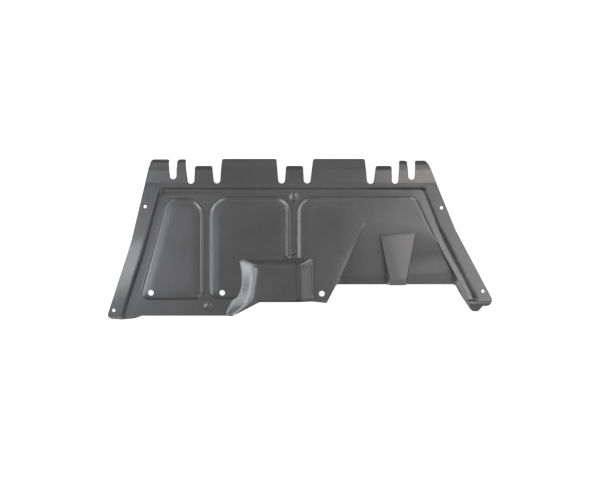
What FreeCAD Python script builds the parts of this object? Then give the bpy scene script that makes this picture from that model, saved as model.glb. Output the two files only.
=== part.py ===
import FreeCAD, Part
import math
import os
from FreeCAD import Vector

# Engine splash shield: one moulded sheet that closes the underside of an engine bay.
# X runs across the car, Y points to the front edge with its tabs, Z points up to the
# engine side. Height 0 is the upper face of the sheet between its raised panels, and
# all sizes are in millimetres. The finished sheet is moved so that the origin is at
# the middle of its footprint, on the level of its lowest point.

# The sheet and its main levels
sheet = 2.5              # wall thickness
rim_height = 10.0        # front rim and side flanges
panel_height = 7.0       # raised panels
block_height = 28.0      # raised block at the rear edge
duct_depth = 48.0        # duct floor at the rear edge
blank_depth = 150.0      # depth of the working solids under the sheet
blank_margin = 45.0      # how far the working solids reach past the outline
cut_margin = 5.0         # how far the cuts reach past the working solids
above_all = 60.0         # level above every form

# Front edge: crease, second bend, tip curl
crease_y = 137.0
bend_y = 173.0
curl_y = 195.0
tab_slope = 24.0         # degrees down from the rim
tip_slope = 42.0
curl_slope = 68.0
tall_tip = 202.5
short_tip = 183.5
end_tip = 198.5          # tips of the two tabs at the right end
tip_radius = 4.0

# Outline
left_front_x = -366.0
left_crease_x = -379.0
left_waist_x = -411.5
left_rear_x = -469.5
rear_y = -186.0
rear_corner_y = -196.0
right_front_x = 317.5
right_front_drop = 11.0  # outer corner of the last tab behind its tip
right_crease_x = 336.0
right_crease_y = 132.0
right_waist_x = 380.0
right_waist_y = 24.5
right_rear_x = 469.5
right_side_end_y = -144.0
right_rear_y = -161.5
right_rear_lean = 2.5    # how far the right rear corner lies inside the right end
flange_inner_x = 447.5   # inner end of the right flange's rear edge
lobe_x = 435.5
lobe_y = -176.5
lobe_inner_x = 427.0
lobe_inner_y = -168.5
duct_rear_y = -111.5
duct_right_corner_x = 391.0
duct_corner_cut = 6.0
duct_left_corner_x = 88.0
duct_left_end_x = 65.0
duct_left_end_y = -154.5
block_rear_y = -151.0
block_rear_right_x = 31.0
block_rear_left_x = -98.5
rear_right_x = -165.5    # right end of the straight rear edge
rear_left_x = -388.0
rear_bend_x = -405.0
rear_bend_y = -192.5
rear_corner_x = -441.0
left_rear_rise = 2.0     # left rear corner above the rearmost edge
left_side_end = 5.0      # end of the left side above the straight rear edge
corner_radii = [4.0, 0.0, 0.0, 6.0, 9.0, 3.0, 7.0, 4.0, 3.0, 3.0, 0.0, 0.0, 20.0, 12.0,
                8.0, 12.0, 6.0, 8.0, 9.0]

# Front tabs from left to right: left end, right end and tip
tabs = [
    (left_front_x, -328.0, tall_tip),
    (-304.0, -286.0, tall_tip),
    (-259.5, -220.0, short_tip),
    (-193.0, -59.5, tall_tip),
    (-32.5, 5.5, short_tip),
    (33.0, 160.0, tall_tip),
    (190.5, 226.5, short_tip),
    (247.0, 263.0, end_tip),
    (286.0, 308.5, end_tip),
]
narrow_tab = 60.0        # tabs narrower than this have curled tips
curl_reach = 12.0        # how far a curl's cut reaches past its tab

# Slots between the tabs: middle and floor
slot_floor = 138.0
end_slot_floor = 149.0
slot_half = 8.3
slot_radius = 8.0
slots = [
    (-310.6, end_slot_floor),
    (-267.0, slot_floor),
    (-203.4, slot_floor),
    (-44.8, slot_floor),
    (17.3, slot_floor),
    (172.0, slot_floor),
    (232.0, slot_floor),
    (273.2, end_slot_floor),
]

# Dish inside the rim
dish_front_y = 123.5
dish_left_x = -340.5
dish_left_waist_x = -384.0
dish_left_waist_y = -40.0
dish_right_x = 302.0
dish_right_waist_x = 340.5
dish_right_waist_y = 26.0
dish_right_slope = 0.497
dish_left_slope = 0.326
front_step = 5.0         # plan width of the step up to the rim
side_step = 6.5          # plan width of the steps up to the side flanges
dish_corner = 7.0
dish_over = 1.5          # how far the dish's sides reach above the rim

# Raised panels
panel_front_y = 105.5
panel_rear_y = -146.6
panel_edge = 7.0         # plan width of a panel's sloped edge
panel_fillet = 3.5       # rounding of a panel's upper edge
panel_corner = 38.0
panel_small_corner = 22.0
panel_one_front_y = 102.5
panel_one_left_x = -325.5
panel_one_left_slope = 0.276
panel_one_right_x = -236.7
panel_one_left_corner = 28.0
panel_one_right_corner = 46.0
panel_two_left_x = -221.5
panel_two_right_x = -23.3
panel_two_left_corner = 44.0
panel_two_rear_x = -125.0    # end of its rear edge, inside the block
panel_three_left_x = -6.6
panel_three_right_x = 285.0
panel_three_waist_x = 337.5
panel_three_waist_y = -8.0
hidden_margin = 30.0         # how far panels reach into the block and the duct

# Raised block, measured at height 0
block_front_y = -43.0
block_left_x = -156.5
block_waist_x = -150.5
block_waist_y = -95.0
block_turn_y = -141.0    # where the left foot turns to the rear left
block_turn_run = 44.0    # sideways reach of that turn
block_turn_length = 54.0
block_right_x = 38.5
block_right_lean = 3.0   # extra width at the right rear
block_side = 43.0        # plan width of the sloped sides
block_turn_side = 34.0   # the same where the left foot turns
block_front = 11.0       # plan width of the steep front
block_fillet = 6.0
block_corner = 14.0

# Duct: floor, gentle left side, steep walls
duct_start_y = 39.0
duct_fall_y = 9.0        # where its floor starts to fall
duct_bend_y = -85.0
duct_bend_depth = 32.0
duct_crown_front_x = 140.0   # upper edge of the left side, at the duct's start
duct_crown_rear_x = 64.5     # the same at the rear
duct_crown_rear_y = -108.0
duct_side_slope = 32.0       # degrees
duct_foot_front_x = 156.5    # foot of the left side, at the duct's start
duct_foot_rear_x = 89.5
duct_wall = 4.0          # plan width of the steep walls over the duct's whole depth
duct_front_reach = 20.0  # how far the cut reaches ahead of the duct's start
duct_over = 1.3          # how far the cut's walls reach below the floor
rail_start_x = 313.5
rail_waist_x = 344.0
rail_waist_y = -19.6
rail_slope = 0.561

# Splitter wedge in the duct
wedge_height = 7.6
wedge_front_y = 17.0
wedge_front_left_x = 196.0
wedge_front_right_x = 284.0
wedge_crease_y = -98.0
wedge_crease_left_x = 220.0
wedge_crease_right_x = 262.0
wedge_lip_slope = 35.0   # degrees down behind the crease
wedge_side = 8.0

# End of the rail and rear lips of the flanges
rail_end_y = -144.0      # foot of the wall that closes the dish behind the rail
rail_end_run = 6.0       # plan width of that wall
rail_end_left_x = 360.0
right_lip_y = -154.0
right_lip_x = 400.0      # inner end of the right lip, in the duct's room
left_lip_x = -417.5      # inner end of the left flange's lip
right_lip_slope = 14.0
left_lip_slope = 60.0
cut_reach = 30.0         # how far the lip cuts reach past the outline

# Small domes in the grooves: place and radius
pip_height = 3.5
pip_places = [(-14.5, 104.5, 9.5), (-225.0, -163.0, 9.0), (-15.0, -31.0, 5.5)]

# Holes
fixing_hole = 13.7
fixing_holes = [(-365.0, -129.3), (-190.5, -129.3), (53.5, -131.4)]
flange_hole = 8.0
flange_holes = [(-378.5, 81.6), (-455.0, -172.0), (345.8, 78.7), (447.0, -125.0)]


def unit(a, b):
    """Direction from a to b in the plane."""
    length = math.hypot(b[0] - a[0], b[1] - a[1])
    return (b[0] - a[0]) / length, (b[1] - a[1]) / length


def signed_area(points):
    total = 0.0
    for a, b in zip(points, points[1:] + points[:1]):
        total += a[0] * b[1] - b[0] * a[1]
    return total / 2.0


def inset(points, distances):
    """Move each side of a closed outline inwards; side i runs from point i to the next."""
    turn = 1.0 if signed_area(points) > 0 else -1.0
    count = len(points)
    moved = []
    for i in range(count):
        before, here, after = points[i - 1], points[i], points[(i + 1) % count]
        d0, d1 = unit(before, here), unit(here, after)
        n0 = (-turn * d0[1], turn * d0[0])
        n1 = (-turn * d1[1], turn * d1[0])
        p0 = (here[0] + n0[0] * distances[i - 1], here[1] + n0[1] * distances[i - 1])
        p1 = (here[0] + n1[0] * distances[i], here[1] + n1[1] * distances[i])
        cross = d0[0] * d1[1] - d0[1] * d1[0]
        if abs(cross) < 1e-6:
            moved.append(p0)
            continue
        t = ((p1[0] - p0[0]) * d1[1] - (p1[1] - p0[1]) * d1[0]) / cross
        moved.append((p0[0] + d0[0] * t, p0[1] + d0[1] * t))
    return moved


def outline_wire(points, radii, z):
    """Closed wire with an arc at each corner that has a radius."""
    count = len(points)
    reach = []
    for i in range(count):
        before, here, after = points[i - 1], points[i], points[(i + 1) % count]
        a, b = unit(here, before), unit(here, after)
        angle = math.acos(max(-1.0, min(1.0, a[0] * b[0] + a[1] * b[1])))
        reach.append(radii[i] / math.tan(angle / 2.0))
    for i in range(count):
        here, after = points[i], points[(i + 1) % count]
        side = math.hypot(after[0] - here[0], after[1] - here[1])
        total = reach[i] + reach[(i + 1) % count]
        if total > 0.98 * side:
            reach[i] *= 0.98 * side / total
            reach[(i + 1) % count] *= 0.98 * side / total
    edges = []
    last = None
    first = None
    for i in range(count):
        before, here, after = points[i - 1], points[i], points[(i + 1) % count]
        a, b = unit(here, before), unit(here, after)
        start = Vector(here[0] + a[0] * reach[i], here[1] + a[1] * reach[i], z)
        end = Vector(here[0] + b[0] * reach[i], here[1] + b[1] * reach[i], z)
        if last is None:
            first = start
        else:
            edges.append(Part.LineSegment(last, start).toShape())
        if reach[i] > 1e-6:
            angle = math.acos(max(-1.0, min(1.0, a[0] * b[0] + a[1] * b[1])))
            radius = reach[i] * math.tan(angle / 2.0)
            to_centre = radius / math.sin(angle / 2.0)
            half = unit((0, 0), (a[0] + b[0], a[1] + b[1]))
            centre = (here[0] + half[0] * to_centre, here[1] + half[1] * to_centre)
            middle = Vector(centre[0] - half[0] * radius, centre[1] - half[1] * radius, z)
            edges.append(Part.Arc(start, middle, end).toShape())
        last = end
    edges.append(Part.LineSegment(last, first).toShape())
    return Part.Wire(edges)


def prism(points, radii, low, high):
    face = Part.Face(outline_wire(points, radii, low))
    return face.extrude(Vector(0, 0, high - low))


def frustum(points, radii, runs, low, high):
    """Drafted solid: the outline at the low level moves in by its runs at the high one."""
    top = inset(points, runs)
    count = len(points)
    top_radii = []
    for i in range(count):
        run = (runs[i] + runs[i - 1]) / 2.0
        top_radii.append(max(radii[i] - run, 0.4 * radii[i]) if radii[i] else 0.0)
    wires = [outline_wire(points, radii, low), outline_wire(top, top_radii, high)]
    return Part.makeLoft(wires, True, True)


def side_shift(run, height, depth):
    """How far a sloped side moves inwards where the sheet's lower face lies below it."""
    return depth * math.tan(math.atan2(height, run) / 2.0)


def top_fillet(solid, level, radius):
    """Round the edges of a solid's flat upper face."""
    rim = [e for e in solid.Edges
           if all(abs(v.Z - level) < 1e-4 for v in e.Vertexes)]
    return solid.makeFillet(radius, rim)


def raised(points, radii, runs, height, depth, fillet):
    """A raised form for the face that lies the given depth below the upper face."""
    shifts = [side_shift(run, height, depth) for run in runs]
    foot = inset(points, shifts)
    solid = frustum(foot, radii, runs, -depth, height - depth)
    solid = top_fillet(solid, height - depth, fillet - 0.6 * depth)
    base = prism(foot, radii, -blank_depth, -depth)
    return solid.fuse(base)


def along_x(profile, x0, x1):
    """Solid with a constant section in Y and Z."""
    wire = Part.makePolygon([Vector(x0, y, z) for y, z in profile + profile[:1]])
    return Part.Face(wire).extrude(Vector(x1 - x0, 0, 0))


def lowered(profile, depth):
    """A falling line in Y and Z, moved square to itself below the upper face."""
    lines = []
    for (y0, z0), (y1, z1) in zip(profile, profile[1:]):
        length = math.hypot(y1 - y0, z1 - z0)
        ny, nz = (z1 - z0) / length, -(y1 - y0) / length
        if nz > 0:
            ny, nz = -ny, -nz
        lines.append(((y0 + ny * depth, z0 + nz * depth), (y1 + ny * depth, z1 + nz * depth)))
    moved = [lines[0][0]]
    for (a, b), (c, d) in zip(lines, lines[1:]):
        d0, d1 = unit(a, b), unit(c, d)
        cross = d0[0] * d1[1] - d0[1] * d1[0]
        t = ((c[0] - a[0]) * d1[1] - (c[1] - a[1]) * d1[0]) / cross
        moved.append((a[0] + d0[0] * t, a[1] + d0[1] * t))
    moved.append(lines[-1][1])
    return moved


def fall(start_y, start_z, slope, end_y):
    """Point reached at end_y by a line that falls at a slope in degrees."""
    return end_y, start_z - abs(end_y - start_y) * math.tan(math.radians(slope))


def outline():
    """Trimmed outline of the sheet, clockwise from the left side."""
    points = [(left_rear_x, rear_y + left_side_end), (left_waist_x, 0.0), (left_crease_x, crease_y)]
    radii = [0.0, 0.0, 0.0]
    for i, (left, right, tip) in enumerate(tabs):
        points += [(left, tip), (right, tip)]
        radii += [tip_radius, tip_radius]
        if i < len(slots):
            middle, floor = slots[i]
            points += [(middle - slot_half, floor), (middle + slot_half, floor)]
            radii += [slot_radius, slot_radius]
    points += [
        (right_front_x, end_tip - right_front_drop),
        (right_crease_x, right_crease_y),
        (right_waist_x, right_waist_y),
        (right_rear_x, right_side_end_y),
        (right_rear_x - right_rear_lean, right_rear_y),
        (flange_inner_x, right_rear_y),
        (lobe_x, lobe_y),
        (lobe_inner_x, lobe_inner_y),
        (duct_right_corner_x, duct_rear_y - duct_corner_cut / 2.0),
        (duct_right_corner_x - duct_corner_cut, duct_rear_y),
        (duct_left_corner_x, duct_rear_y),
        (duct_left_end_x, duct_left_end_y),
        (block_rear_right_x, block_rear_y),
        (block_rear_left_x, block_rear_y),
        (rear_right_x, rear_y),
        (rear_left_x, rear_y),
        (rear_bend_x, rear_bend_y),
        (rear_corner_x, rear_corner_y),
        (left_rear_x + 1.0, rear_corner_y + left_rear_rise),
    ]
    return points, radii + corner_radii


def blank(depth):
    """Working solid up to the rim's level, larger than the outline."""
    x0, x1 = left_rear_x - blank_margin, right_rear_x + blank_margin
    y0, y1 = rear_corner_y - blank_margin, tall_tip + blank_margin
    return prism([(x0, y0), (x1, y0), (x1, y1), (x0, y1)], [0.0] * 4,
                 -blank_depth, rim_height - depth)


def front_cut(depth):
    """Everything above the tabs, which fall away from the crease."""
    end = tall_tip + blank_margin
    bend = fall(crease_y, rim_height, tab_slope, bend_y)
    tip = fall(bend[0], bend[1], tip_slope, end)
    start = crease_y - blank_margin
    line = lowered([(start, rim_height), (crease_y, rim_height), bend, tip], depth)
    x0, x1 = left_rear_x - blank_margin, right_rear_x + blank_margin
    return along_x(line + [(end, above_all), (line[0][0], above_all)], x0, x1)


def curl_cut(depth, x0, x1):
    """Everything above the curled tip of a narrow tab."""
    end = tall_tip + blank_margin
    bend = fall(crease_y, rim_height, tab_slope, bend_y)
    curl = fall(bend[0], bend[1], tip_slope, curl_y)
    tip = fall(curl[0], curl[1], curl_slope, end)
    line = lowered([bend, curl, tip], depth)
    return along_x(line + [(end, above_all), (line[0][0], above_all)], x0, x1)


def rail_end(depth):
    """The wall that closes the dish behind the rail, and all that lies behind it."""
    end = rear_corner_y - blank_margin - 2.0 * cut_margin
    foot = rail_end_y - side_shift(rail_end_run, rim_height, depth)
    rise, run = rim_height * dish_over, rail_end_run * dish_over
    profile = [(foot + run, -rise - depth), (foot - 2.0 * run, 2.0 * rise - depth),
               (end, 2.0 * rise - depth), (end, -rise - depth)]
    return along_x(profile, rail_end_left_x, right_rear_x + 2.0 * blank_margin)


def dish_cut(depth):
    """The shallow dish inside the rim, open at the rear up to the rail."""
    end = rear_corner_y - blank_margin - cut_margin
    left_end = dish_left_waist_x - (dish_left_waist_y - end) * dish_left_slope
    right_end = dish_right_waist_x + (dish_right_waist_y - end) * dish_right_slope
    points = [
        (left_end, end), (right_end, end),
        (dish_right_waist_x, dish_right_waist_y), (dish_right_x, dish_front_y),
        (dish_left_x, dish_front_y), (dish_left_waist_x, dish_left_waist_y),
    ]
    runs = [0.0, side_step, side_step, front_step, side_step, side_step]
    shifts = [side_shift(run, rim_height, depth) if run else 0.0 for run in runs]
    foot = inset(points, [-s for s in shifts])
    room = frustum(foot, [0.0, 0.0, 0.0, dish_corner, dish_corner, 0.0],
                   [-run * dish_over for run in runs], -depth, rim_height * dish_over - depth)
    return room.cut(rail_end(depth))


def panel_one(depth):
    rear_x = panel_one_left_x - (panel_front_y - panel_rear_y) * panel_one_left_slope
    points = [
        (rear_x, panel_rear_y), (panel_one_right_x, panel_rear_y),
        (panel_one_right_x, panel_one_front_y), (panel_one_left_x, panel_one_front_y),
    ]
    radii = [panel_small_corner, panel_small_corner, panel_one_right_corner, panel_one_left_corner]
    return raised(points, radii, [panel_edge] * 4, panel_height, depth, panel_fillet)


def panel_two(depth):
    points = [
        (panel_two_left_x, panel_rear_y), (panel_two_rear_x, panel_rear_y),
        (panel_two_rear_x + hidden_margin, block_front_y - hidden_margin),
        (panel_two_right_x, block_front_y - block_front), (panel_two_right_x, panel_front_y),
        (panel_two_left_x, panel_front_y),
    ]
    radii = [panel_small_corner, 0.0, 0.0, 0.0, panel_corner, panel_two_left_corner]
    return raised(points, radii, [panel_edge] * 6, panel_height, depth, panel_fillet)


def panel_three(depth):
    end = rear_corner_y - blank_margin
    inner_x = block_right_x - hidden_margin - 4.0
    duct_x = (duct_foot_front_x + rail_start_x) / 2.0
    points = [
        (panel_three_left_x, block_front_y - block_front), (inner_x, block_front_y - hidden_margin),
        (inner_x, end), (duct_x, end), (duct_x, duct_bend_y),
        (panel_three_waist_x, panel_three_waist_y),
        (panel_three_right_x, panel_front_y), (panel_three_left_x, panel_front_y),
    ]
    radii = [0.0, 0.0, 0.0, 0.0, 0.0, 0.0, panel_small_corner, panel_corner]
    return raised(points, radii, [panel_edge] * 8, panel_height, depth, panel_fillet)


def block(depth):
    end = rear_corner_y - blank_margin
    turn_x, turn_y = block_left_x - block_turn_run, block_turn_y - block_turn_length
    points = [
        (block_left_x, block_front_y), (block_waist_x, block_waist_y), (block_left_x, block_turn_y),
        (turn_x, turn_y), (turn_x, end), (block_right_x + block_right_lean, end),
        (block_right_x, block_front_y),
    ]
    radii = [block_corner, 0.0, 0.0, 0.0, 0.0, 0.0, block_corner]
    runs = [block_side, block_side, block_turn_side, block_side, 0.0, block_side, block_front]
    shifts = [side_shift(run, block_height, depth) if run else 0.0 for run in runs]
    foot = inset(points, shifts)
    solid = frustum(foot, radii, runs, -depth, block_height - depth)
    solid = top_fillet(solid, block_height - depth, block_fillet - 0.6 * depth)
    return solid.fuse(prism(foot, radii, -blank_depth, -depth))


def duct_walls(points, runs, depth):
    """Room between the duct's sides; each side moves in by its run over the duct's depth."""
    height = panel_height + duct_depth
    shifts = [side_shift(run, height, depth) if run else 0.0 for run in runs]
    top = inset(points, [-s for s in shifts])
    foot = inset(top, [run * duct_over for run in runs])
    square = [0.0] * len(points)
    wires = [outline_wire(foot, square, panel_height - height * duct_over - depth),
             outline_wire(top, square, panel_height - depth)]
    room = Part.makeLoft(wires, True, True)
    return room.fuse(prism(top, square, panel_height - depth, above_all))


def duct_cut(depth):
    """The duct that falls to the rear edge, with a gentle side and two steep walls."""
    end = rear_corner_y - blank_margin - cut_margin
    start = duct_start_y + duct_front_reach
    rail_front_x = rail_waist_x - (start - rail_waist_y) * rail_slope
    rail_end_x = rail_waist_x + (rail_waist_y - end) * rail_slope
    right = [(rail_end_x, end), (rail_waist_x, rail_waist_y), (rail_front_x, start)]
    length = duct_start_y - duct_crown_rear_y
    crown_step = (duct_crown_front_x - duct_crown_rear_x) / length
    crown_x = duct_crown_front_x + (start - duct_start_y) * crown_step
    foot_step = (duct_foot_front_x - duct_foot_rear_x) / (duct_start_y - duct_rear_y)
    foot_x = duct_foot_front_x + (start - duct_start_y) * foot_step
    side = (panel_height + duct_depth) / math.tan(math.radians(duct_side_slope))
    gentle = duct_walls(
        [(duct_crown_rear_x, end)] + right + [(crown_x, start), (duct_crown_rear_x, duct_crown_rear_y)],
        [0.0, duct_wall, duct_wall, 0.0, side, side], depth)
    steep = duct_walls(
        [(duct_foot_rear_x, end)] + right + [(foot_x, start), (duct_foot_rear_x, duct_rear_y)],
        [0.0, duct_wall, duct_wall, 0.0, duct_wall, duct_wall], depth)
    line = lowered([
        (start + duct_front_reach, panel_height), (duct_fall_y, panel_height),
        (duct_bend_y, -duct_bend_depth), (duct_rear_y, -duct_depth), (end, -duct_depth),
    ], depth)
    profile = along_x(line + [(end, above_all), (line[0][0], above_all)],
                      0.0, right_rear_x + blank_margin)
    return gentle.fuse(steep).common(profile)


def wedge(depth):
    """The splitter that stands in the duct, with a lip behind its rear crease."""
    length = wedge_front_y - wedge_crease_y
    left = (wedge_crease_left_x - wedge_front_left_x) / length
    right = (wedge_front_right_x - wedge_crease_right_x) / length
    rear = duct_rear_y - wedge_side
    points = [
        (wedge_front_left_x, wedge_front_y), (wedge_front_right_x, wedge_front_y),
        (wedge_front_right_x - (wedge_front_y - rear) * right, rear),
        (wedge_front_left_x + (wedge_front_y - rear) * left, rear),
    ]
    height = wedge_height + duct_depth
    shift = side_shift(wedge_side, height, depth)
    top = inset(points, [0.0, shift, 0.0, shift])
    foot = inset(top, [0.0, -wedge_side * duct_over, 0.0, -wedge_side * duct_over])
    wires = [outline_wire(foot, [0.0] * 4, wedge_height - depth - height * duct_over),
             outline_wire(top, [0.0] * 4, wedge_height - depth)]
    end = fall(wedge_crease_y, wedge_height, wedge_lip_slope, rear - wedge_side)
    front = (wedge_front_y + wedge_side, wedge_height)
    line = lowered([front, (wedge_crease_y, wedge_height), end], depth)
    bottom = [(line[2][0], -blank_depth), (line[0][0], -blank_depth)]
    body = along_x(line + bottom, 0.0, right_rear_x)
    return Part.makeLoft(wires, True, True).common(body)


def lip_cut(depth, x0, x1, start_y, slope):
    """The rear lip of a side flange, which falls away behind a fold."""
    end = rear_corner_y - blank_margin - cut_margin
    edge = fall(start_y, rim_height, slope, end)
    line = lowered([(start_y + cut_reach, rim_height), (start_y, rim_height), edge], depth)
    return along_x(line[1:] + [(end, above_all), (line[1][0], above_all)], x0 - depth, x1 + depth)


def pips(depth):
    """Small domes in the grooves between the panels."""
    domes = []
    for x, y, radius in pip_places:
        ball = (radius ** 2 + pip_height ** 2) / (2.0 * pip_height)
        centre = Vector(x, y, pip_height - ball)
        domes.append(Part.makeSphere(ball - depth, centre))
    return domes


def form(depth):
    """Solid whose upper face is the sheet's face at the given depth below the top."""
    solid = blank(depth).cut(dish_cut(depth))
    solid = solid.fuse([panel_one(depth), panel_two(depth), panel_three(depth), block(depth)])
    solid = solid.cut(duct_cut(depth))
    solid = solid.fuse([wedge(depth)] + pips(depth))
    curls = [curl_cut(depth, left - curl_reach, right + curl_reach)
             for left, right, tip in tabs if right - left < narrow_tab]
    solid = solid.cut([front_cut(depth)] + curls)
    right, left = right_rear_x + cut_reach, left_rear_x - cut_reach
    solid = solid.cut(lip_cut(depth, right_lip_x, right, right_lip_y, right_lip_slope))
    return solid.cut(lip_cut(depth, left, left_lip_x, rear_y, left_lip_slope))


def holes():
    """Fixing holes at the rear edge and in the side flanges."""
    tools = []
    for places, size in ((fixing_holes, fixing_hole), (flange_holes, flange_hole)):
        for x, y in places:
            tools.append(Part.makeCylinder(size / 2.0, blank_depth, Vector(x, y, -blank_depth / 2.0)))
    return tools


def splash_shield():
    sheet_solid = form(0.0).cut(form(sheet))
    points, radii = outline()
    trimmed = sheet_solid.common(prism(points, radii, -blank_depth / 1.2, above_all))
    solid = trimmed.cut(holes())
    box = solid.optimalBoundingBox(False, False)
    print("moved by", -box.Center.x, -box.Center.y, -box.ZMin)
    solid.translate(Vector(-box.Center.x, -box.Center.y, -box.ZMin))
    return solid.Solids[0]


def main():
    os.makedirs("parts", exist_ok=True)
    shape = splash_shield()
    box = shape.optimalBoundingBox(False, False)
    print("solids", len(shape.Solids), "valid", shape.isValid(), "volume", round(shape.Volume))
    print("box", box.XMin, box.XMax, box.YMin, box.YMax, box.ZMin, box.ZMax)
    print("centre", shape.CenterOfMass)
    shape.exportStep("parts/splash_shield.step")


main()
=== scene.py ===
import math
import bpy
import numpy as np
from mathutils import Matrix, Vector


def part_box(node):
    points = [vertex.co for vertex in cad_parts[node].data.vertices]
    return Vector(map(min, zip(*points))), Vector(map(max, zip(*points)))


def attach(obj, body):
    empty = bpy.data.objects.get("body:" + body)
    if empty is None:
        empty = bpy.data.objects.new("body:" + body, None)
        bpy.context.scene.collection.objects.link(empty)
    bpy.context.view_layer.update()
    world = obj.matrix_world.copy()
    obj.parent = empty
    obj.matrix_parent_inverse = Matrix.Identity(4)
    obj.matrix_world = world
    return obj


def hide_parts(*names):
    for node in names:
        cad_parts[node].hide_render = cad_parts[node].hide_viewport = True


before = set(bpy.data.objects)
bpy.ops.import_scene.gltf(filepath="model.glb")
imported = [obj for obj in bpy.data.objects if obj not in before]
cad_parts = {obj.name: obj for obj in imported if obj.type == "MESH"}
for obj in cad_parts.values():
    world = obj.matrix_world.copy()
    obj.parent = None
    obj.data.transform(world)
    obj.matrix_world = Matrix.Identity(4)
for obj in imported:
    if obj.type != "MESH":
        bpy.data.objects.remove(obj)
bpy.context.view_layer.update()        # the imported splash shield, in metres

shieldNode = "splash_shield"
nodeLow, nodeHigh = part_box(shieldNode)

# Sizes of the moulded sheet in millimetres. Height 0 is its upper face between the
# raised panels; x and y are measured from the middle of the picture.
shield = {
    "thickness": 2.5,
    "leftmost": -469.5,        # x of the sheet's left end
    "frontmost": 202.5,        # y of the longest tabs
    "ductDepth": 48.0,
    "rimHeight": 10.0,
    "panelHeight": 7.0,
    "blockHeight": 28.0,
    "sideStep": 6.2,
    "frontStep": 5.2,
}

millimetre = 0.001
shiftX = nodeLow.x / millimetre - shield["leftmost"]
shiftY = nodeHigh.y / millimetre - shield["frontmost"]
shiftZ = nodeHigh.z / millimetre - shield["blockHeight"]


# The lower of two heights, with the corner between them rounded over a reach: inside the
# reach the two are mixed, less reach x share x (1 - share).
def softLow(a, b, reach):
    share = np.clip(0.5 + 0.5 * (b - a) / reach, 0.0, 1.0)
    return b + (a - b) * share - reach * share * (1.0 - share)


# The higher of two heights, rounded in the same way.
def softHigh(a, b, reach):
    return -softLow(-a, -b, reach)


# A wall that starts at inside = 0 and rises over its run, rounded at foot and crown.
def wallRise(inside, run, rise, foot, crown):
    return softLow(softHigh(inside * rise / run, 0.0, foot), rise, crown)


# 0 before low, 1 after high, with a level start and end: share squared x (3 - 2 share).
def fade(value, low, high):
    share = np.clip((value - low) / (high - low), 0.0, 1.0)
    return share * share * (3.0 - 2.0 * share)


# x along a broken line given as (y, x) pairs, averaged over a short reach of y.
def lineAt(y, pairs, reach=0.0):
    ys = [p[0] for p in pairs]
    xs = [p[1] for p in pairs]
    if reach == 0.0:
        return np.interp(y, ys, xs)
    return np.mean([np.interp(y + reach * k, ys, xs) for k in (-1.0, -0.5, 0.0, 0.5, 1.0)], axis=0)


# Closed outline with each corner turned into an arc of its radius.
def roundOutline(corners, steps=9):
    corners = np.array(corners, float)
    points, radii = corners[:, :2], corners[:, 2].copy()
    before = np.roll(points, 1, axis=0) - points
    after = np.roll(points, -1, axis=0) - points
    lengthBefore = np.linalg.norm(before, axis=1)
    lengthAfter = np.linalg.norm(after, axis=1)
    before /= lengthBefore[:, None]
    after /= lengthAfter[:, None]
    half = 0.5 * np.arccos(np.clip((before * after).sum(1), -1.0, 1.0))
    reach = radii / np.tan(half)
    room = 0.98 * lengthAfter / np.maximum(reach + np.roll(reach, -1), 1e-9)
    scale = np.minimum(1.0, np.minimum(room, np.roll(room, 1)))
    reach = reach * scale
    radii = reach * np.tan(half)
    outline = []
    for corner, a, b, cut, radius, angle in zip(points, before, after, reach, radii, half):
        if radius < 1e-6:
            outline.append(corner[None, :])
            continue
        start, end = corner + a * cut, corner + b * cut
        middle = corner + (a + b) / np.linalg.norm(a + b) * radius / math.sin(angle)
        startArm, endArm = start - middle, end - middle
        turn = math.atan2(startArm[0] * endArm[1] - startArm[1] * endArm[0], startArm @ endArm)
        angles = np.linspace(0.0, turn, steps)
        outline.append(middle + np.stack([
            startArm[0] * np.cos(angles) - startArm[1] * np.sin(angles),
            startArm[0] * np.sin(angles) + startArm[1] * np.cos(angles)], axis=1))
    return np.concatenate(outline)


# Distance to a closed outline: positive inside, negative outside.
def insideOf(x, y, outline):
    nearest = np.full(x.shape, 1e9)
    crossings = np.zeros(x.shape, bool)
    for (ax, ay), (bx, by) in zip(outline, np.roll(outline, -1, axis=0)):
        ex, ey = bx - ax, by - ay
        along = np.clip(((x - ax) * ex + (y - ay) * ey) / (ex * ex + ey * ey + 1e-12), 0.0, 1.0)
        nearest = np.minimum(nearest, (x - ax - ex * along) ** 2 + (y - ay - ey * along) ** 2)
        spans = (ay > y) != (by > y)
        if ay != by:
            crossings ^= spans & (x < ax + (y - ay) * ex / ey)
    return np.where(crossings, 1.0, -1.0) * np.sqrt(nearest)


# Dish inside the rim, as (x, y, corner radius). Its floor rises before the front step, and
# the step to the rim is rounder at the front than at the sides.
dish = {
    "corners": [(-456.0, -260.0, 0), (360.0, -260.0, 0), (360.0, -144.0, 0), (428.0, -146.0, 1.5),
                (340.5, 26.0, 40), (302.0, 123.5, 7),
                (-340.5, 123.5, 7), (-384.0, -40.0, 60)],
    "rampHeight": 4.5,
    "rampStart": 108.5,
    "rampEnd": 122.8,
    "rampFade": (110.0, 270.0),     # the rise ends between these x
    "frontBand": (118.0, 130.0),    # y where the side step turns into the front step
    "stepFoot": 0.10,               # roundings, as shares of the step's height
    "sideCrown": 0.16,
    "frontCrown": 0.50,
}

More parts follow.
